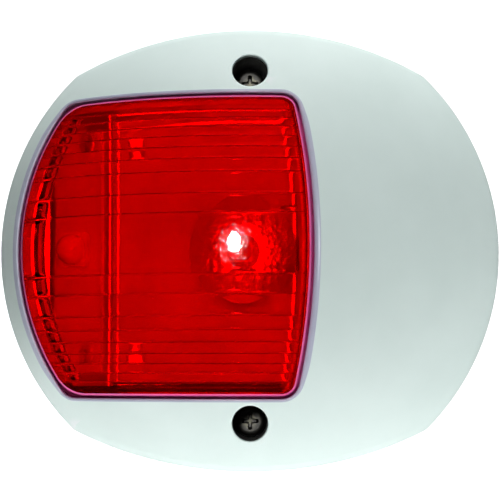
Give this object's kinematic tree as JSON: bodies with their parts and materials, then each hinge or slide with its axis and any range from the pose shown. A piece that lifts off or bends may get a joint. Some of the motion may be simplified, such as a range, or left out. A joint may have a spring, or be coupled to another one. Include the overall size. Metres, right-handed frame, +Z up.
{
  "type": "navigation light",
  "caption": "Port side navigation light for a small boat: a domed white cover with a red ribbed lens over a black base, held flat to a wall by two recessed screws.",
  "frame": {"origin": "centre of the back gasket's face, in the plane of the wall the light is screwed to, midway between its two screws", "axes": "+Z up, +Y into the wall along the screws, -X towards the bow (the lens side); the light faces -Y"},
  "size_m": [0.086, 0.0437, 0.0746],
  "materials": {
    "cover": "satin moulded, pearl white",
    "red_lens": "clear red polycarbonate",
    "black_plastic": "fine moulded grain",
    "foam": "closed-cell foam",
    "silicone": "white silicone",
    "aluminium": "pressed and tumbled",
    "board_mask": "white solder mask",
    "emitter_ceramic": "glazed",
    "emitter_dome": "clear silicone over phosphor",
    "reflector": "hammered, vacuum plated",
    "small_screws": "plain stainless steel",
    "circuit_board": "green solder mask",
    "component_black": "moulded epoxy",
    "capacitor_can": "drawn can",
    "tinned_copper": "solder tinned",
    "grommet_rubber": "moulded",
    "screw_steel": "black oxide",
    "washer_rubber": "bonded sealing washer"
  },
  "bodies": {
    "base": {"back_gasket": "foam", "mounting_base": "black_plastic", "lens": "red_lens", "lens_seal": "silicone", "heat_spreader": "aluminium", "forward_wedge": "aluminium", "abeam_board": "board_mask", "forward_board": "board_mask", "abeam_led_base": "emitter_ceramic", "abeam_led_dome": "emitter_dome", "abeam_reflector": "reflector", "forward_led_base": "emitter_ceramic", "forward_led_dome": "emitter_dome", "board_screws": "small_screws", "driver_board": "circuit_board", "driver_chip": "component_black", "power_inductor": "component_black", "filter_capacitors": "capacitor_can", "surge_diode": "component_black", "sense_resistors": "component_black", "lead_terminals": "tinned_copper", "driver_jumpers": "tinned_copper", "forward_jumpers": "tinned_copper", "driver_lid": "black_plastic", "lid_screws": "small_screws", "wire_grommet": "grommet_rubber"},
    "cover": {"cover_shell": "cover"},
    "top_washer": {"top_washer": "washer_rubber"},
    "top_screw": {"top_screw": "screw_steel"},
    "bottom_washer": {"bottom_washer": "washer_rubber"},
    "bottom_screw": {"bottom_screw": "screw_steel"}
  },
  "joints": [
    {"name": "cover_pull", "type": "slide", "parent": "base", "child": "cover", "axis": [0, -1, 0], "range_m": [0, 0.035]},
    {"name": "top_screw_out", "type": "slide", "parent": "base", "child": "top_washer", "axis": [0, -1, 0], "range_m": [0, 0.016]},
    {"name": "top_screw_turn", "type": "hinge", "parent": "top_washer", "child": "top_screw", "pos_m": [0, 0, 0.029], "axis": [0, -1, 0], "range_deg": [0, 5238]},
    {"name": "bottom_screw_out", "type": "slide", "parent": "base", "child": "bottom_washer", "axis": [0, -1, 0], "range_m": [0, 0.016]},
    {"name": "bottom_screw_turn", "type": "hinge", "parent": "bottom_washer", "child": "bottom_screw", "pos_m": [0, 0, -0.029], "axis": [0, -1, 0], "range_deg": [0, 5238]}
  ],
  "couplings": [
    {"joint": "top_screw_turn", "follows": "top_screw_out", "rad_per_m": 5712},
    {"joint": "bottom_screw_turn", "follows": "bottom_screw_out", "rad_per_m": 5712}
  ]
}
